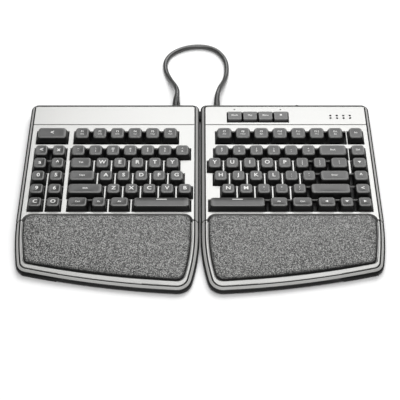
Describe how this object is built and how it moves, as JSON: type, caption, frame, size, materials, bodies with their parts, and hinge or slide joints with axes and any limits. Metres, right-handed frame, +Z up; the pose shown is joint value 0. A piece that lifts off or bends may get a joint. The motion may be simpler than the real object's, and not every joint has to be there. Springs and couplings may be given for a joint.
{
  "type": "ergonomic split keyboard",
  "caption": "Flat split keyboard in two halves that splay on a rear pivot, with padded palm rests, rear buttons and a link cable in a loop behind.",
  "frame": {"origin": "on the desk, under the middle of the closed halves' box, cable left out", "axes": "+X to the user's right along the keyboard's width, +Y to the back, +Z up"},
  "size_m": [0.3864, 0.3838, 0.0249],
  "materials": {
    "silver_case": "satin silver paint",
    "grey_band": "satin grey plastic",
    "black_case": "fine textured black plastic",
    "key_plastic": "satin dark grey plastic with pale lettering",
    "button_plastic": "satin grey plastic",
    "palm_leatherette": "grained dark grey leatherette over foam",
    "rubber": "matt black rubber",
    "silicone": "matt translucent silicone",
    "contact_film": "printed film",
    "circuit_board": "green solder mask",
    "steel": "zinc plated",
    "dark_lens": "smoked clear plastic",
    "cable_jacket": "smooth dark grey vinyl"
  },
  "bodies": {
    "left_half": {"left_base": "black_case", "left_side_band": "grey_band", "left_top_cover": "silver_case", "left_rear_cover": "silver_case", "left_key_guide": "black_case", "left_dome_sheet": "silicone", "left_contact_sheet": "contact_film", "left_palm_base": "black_case", "left_palm_band": "grey_band", "left_palm_frame": "silver_case", "left_palm_pad": "palm_leatherette", "left_feet": "rubber", "left_screws": "steel", "left_strain_relief": "rubber", "pivot_strap": "black_case", "link_cable": "cable_jacket"},
    "right_half": {"right_base": "black_case", "right_side_band": "grey_band", "right_top_cover": "silver_case", "right_rear_cover": "silver_case", "right_key_guide": "black_case", "right_dome_sheet": "silicone", "right_contact_sheet": "contact_film", "right_palm_base": "black_case", "right_palm_band": "grey_band", "right_palm_frame": "silver_case", "right_palm_pad": "palm_leatherette", "right_feet": "rubber", "right_screws": "steel", "right_strain_relief": "rubber", "controller_board": "circuit_board", "indicator_lenses": "dark_lens", "host_cable_grommet": "rubber"},
    "escape_key": {"escape_key": "key_plastic"},
    "shortcut_keys": {"shortcut_keys": "key_plastic"},
    "left_function_keys": {"left_function_keys": "key_plastic"},
    "left_number_keys": {"left_number_keys": "key_plastic"},
    "tab_key": {"tab_key": "key_plastic"},
    "left_upper_keys": {"left_upper_keys": "key_plastic"},
    "caps_key": {"caps_key": "key_plastic"},
    "left_home_keys": {"left_home_keys": "key_plastic"},
    "left_shift_key": {"left_shift_key": "key_plastic"},
    "left_lower_keys": {"left_lower_keys": "key_plastic"},
    "left_bottom_keys": {"left_bottom_keys": "key_plastic"},
    "left_space_bar": {"left_space_bar": "key_plastic"},
    "right_function_keys": {"right_function_keys": "key_plastic"},
    "right_number_keys": {"right_number_keys": "key_plastic"},
    "backspace_key": {"backspace_key": "key_plastic"},
    "right_upper_keys": {"right_upper_keys": "key_plastic"},
    "right_home_keys": {"right_home_keys": "key_plastic"},
    "enter_key": {"enter_key": "key_plastic"},
    "right_lower_keys": {"right_lower_keys": "key_plastic"},
    "right_shift_key": {"right_shift_key": "key_plastic"},
    "right_bottom_keys": {"right_bottom_keys": "key_plastic"},
    "right_space_bar": {"right_space_bar": "key_plastic"},
    "navigation_keys": {"navigation_keys": "key_plastic"},
    "hot_button_1": {"hot_button_1": "button_plastic"},
    "hot_button_2": {"hot_button_2": "button_plastic"},
    "hot_button_3": {"hot_button_3": "button_plastic"},
    "hot_button_4": {"hot_button_4": "button_plastic"}
  },
  "joints": [
    {"name": "splay", "type": "hinge", "parent": "left_half", "child": "right_half", "pos_m": [0, 0.1235, 0.005], "axis": [0, 0, 1], "range_deg": [0, 30], "deforming": ["link_cable"]},
    {"name": "escape_key_press", "type": "slide", "parent": "left_half", "child": "escape_key", "axis": [0, 0, -1], "range_m": [0, 0.0037], "stiffness_N_per_m": 120, "springref_m": -0.002, "deforming": ["left_dome_sheet"]},
    {"name": "shortcut_keys_press", "type": "slide", "parent": "left_half", "child": "shortcut_keys", "axis": [0, 0, -1], "range_m": [0, 0.0037], "stiffness_N_per_m": 1200, "springref_m": -0.002, "deforming": ["left_dome_sheet"]},
    {"name": "left_function_keys_press", "type": "slide", "parent": "left_half", "child": "left_function_keys", "axis": [0, 0, -1], "range_m": [0, 0.0037], "stiffness_N_per_m": 720, "springref_m": -0.002, "deforming": ["left_dome_sheet"]},
    {"name": "left_number_keys_press", "type": "slide", "parent": "left_half", "child": "left_number_keys", "axis": [0, 0, -1], "range_m": [0, 0.0037], "stiffness_N_per_m": 840, "springref_m": -0.002, "deforming": ["left_dome_sheet"]},
    {"name": "tab_key_press", "type": "slide", "parent": "left_half", "child": "tab_key", "axis": [0, 0, -1], "range_m": [0, 0.0037], "stiffness_N_per_m": 120, "springref_m": -0.002, "deforming": ["left_dome_sheet"]},
    {"name": "left_upper_keys_press", "type": "slide", "parent": "left_half", "child": "left_upper_keys", "axis": [0, 0, -1], "range_m": [0, 0.0037], "stiffness_N_per_m": 600, "springref_m": -0.002, "deforming": ["left_dome_sheet"]},
    {"name": "caps_key_press", "type": "slide", "parent": "left_half", "child": "caps_key", "axis": [0, 0, -1], "range_m": [0, 0.0037], "stiffness_N_per_m": 120, "springref_m": -0.002, "deforming": ["left_dome_sheet"]},
    {"name": "left_home_keys_press", "type": "slide", "parent": "left_half", "child": "left_home_keys", "axis": [0, 0, -1], "range_m": [0, 0.0037], "stiffness_N_per_m": 600, "springref_m": -0.002, "deforming": ["left_dome_sheet"]},
    {"name": "left_shift_key_press", "type": "slide", "parent": "left_half", "child": "left_shift_key", "axis": [0, 0, -1], "range_m": [0, 0.0037], "stiffness_N_per_m": 120, "springref_m": -0.002, "deforming": ["left_dome_sheet"]},
    {"name": "left_lower_keys_press", "type": "slide", "parent": "left_half", "child": "left_lower_keys", "axis": [0, 0, -1], "range_m": [0, 0.0037], "stiffness_N_per_m": 600, "springref_m": -0.002, "deforming": ["left_dome_sheet"]},
    {"name": "left_bottom_keys_press", "type": "slide", "parent": "left_half", "child": "left_bottom_keys", "axis": [0, 0, -1], "range_m": [0, 0.0037], "stiffness_N_per_m": 360, "springref_m": -0.002, "deforming": ["left_dome_sheet"]},
    {"name": "left_space_bar_press", "type": "slide", "parent": "left_half", "child": "left_space_bar", "axis": [0, 0, -1], "range_m": [0, 0.0037], "stiffness_N_per_m": 120, "springref_m": -0.002, "deforming": ["left_dome_sheet"]},
    {"name": "right_function_keys_press", "type": "slide", "parent": "right_half", "child": "right_function_keys", "axis": [0, 0, -1], "range_m": [0, 0.0037], "stiffness_N_per_m": 840, "springref_m": -0.002, "deforming": ["right_dome_sheet"]},
    {"name": "right_number_keys_press", "type": "slide", "parent": "right_half", "child": "right_number_keys", "axis": [0, 0, -1], "range_m": [0, 0.0037], "stiffness_N_per_m": 720, "springref_m": -0.002, "deforming": ["right_dome_sheet"]},
    {"name": "backspace_key_press", "type": "slide", "parent": "right_half", "child": "backspace_key", "axis": [0, 0, -1], "range_m": [0, 0.0037], "stiffness_N_per_m": 120, "springref_m": -0.002, "deforming": ["right_dome_sheet"]},
    {"name": "right_upper_keys_press", "type": "slide", "parent": "right_half", "child": "right_upper_keys", "axis": [0, 0, -1], "range_m": [0, 0.0037], "stiffness_N_per_m": 960, "springref_m": -0.002, "deforming": ["right_dome_sheet"]},
    {"name": "right_home_keys_press", "type": "slide", "parent": "right_half", "child": "right_home_keys", "axis": [0, 0, -1], "range_m": [0, 0.0037], "stiffness_N_per_m": 720, "springref_m": -0.002, "deforming": ["right_dome_sheet"]},
    {"name": "enter_key_press", "type": "slide", "parent": "right_half", "child": "enter_key", "axis": [0, 0, -1], "range_m": [0, 0.0037], "stiffness_N_per_m": 120, "springref_m": -0.002, "deforming": ["right_dome_sheet"]},
    {"name": "right_lower_keys_press", "type": "slide", "parent": "right_half", "child": "right_lower_keys", "axis": [0, 0, -1], "range_m": [0, 0.0037], "stiffness_N_per_m": 600, "springref_m": -0.002, "deforming": ["right_dome_sheet"]},
    {"name": "right_shift_key_press", "type": "slide", "parent": "right_half", "child": "right_shift_key", "axis": [0, 0, -1], "range_m": [0, 0.0037], "stiffness_N_per_m": 120, "springref_m": -0.002, "deforming": ["right_dome_sheet"]},
    {"name": "right_bottom_keys_press", "type": "slide", "parent": "right_half", "child": "right_bottom_keys", "axis": [0, 0, -1], "range_m": [0, 0.0037], "stiffness_N_per_m": 600, "springref_m": -0.002, "deforming": ["right_dome_sheet"]},
    {"name": "right_space_bar_press", "type": "slide", "parent": "right_half", "child": "right_space_bar", "axis": [0, 0, -1], "range_m": [0, 0.0037], "stiffness_N_per_m": 120, "springref_m": -0.002, "deforming": ["right_dome_sheet"]},
    {"name": "navigation_keys_press", "type": "slide", "parent": "right_half", "child": "navigation_keys", "axis": [0, 0, -1], "range_m": [0, 0.0037], "stiffness_N_per_m": 600, "springref_m": -0.002, "deforming": ["right_dome_sheet"]},
    {"name": "hot_button_1_press", "type": "slide", "parent": "right_half", "child": "hot_button_1", "axis": [0, 0, -1], "range_m": [0, 0.002], "stiffness_N_per_m": 150, "springref_m": -0.0015, "deforming": ["right_dome_sheet"]},
    {"name": "hot_button_2_press", "type": "slide", "parent": "right_half", "child": "hot_button_2", "axis": [0, 0, -1], "range_m": [0, 0.002], "stiffness_N_per_m": 150, "springref_m": -0.0015, "deforming": ["right_dome_sheet"]},
    {"name": "hot_button_3_press", "type": "slide", "parent": "right_half", "child": "hot_button_3", "axis": [0, 0, -1], "range_m": [0, 0.002], "stiffness_N_per_m": 150, "springref_m": -0.0015, "deforming": ["right_dome_sheet"]},
    {"name": "hot_button_4_press", "type": "slide", "parent": "right_half", "child": "hot_button_4", "axis": [0, 0, -1], "range_m": [0, 0.002], "stiffness_N_per_m": 150, "springref_m": -0.0015, "deforming": ["right_dome_sheet"]}
  ]
}
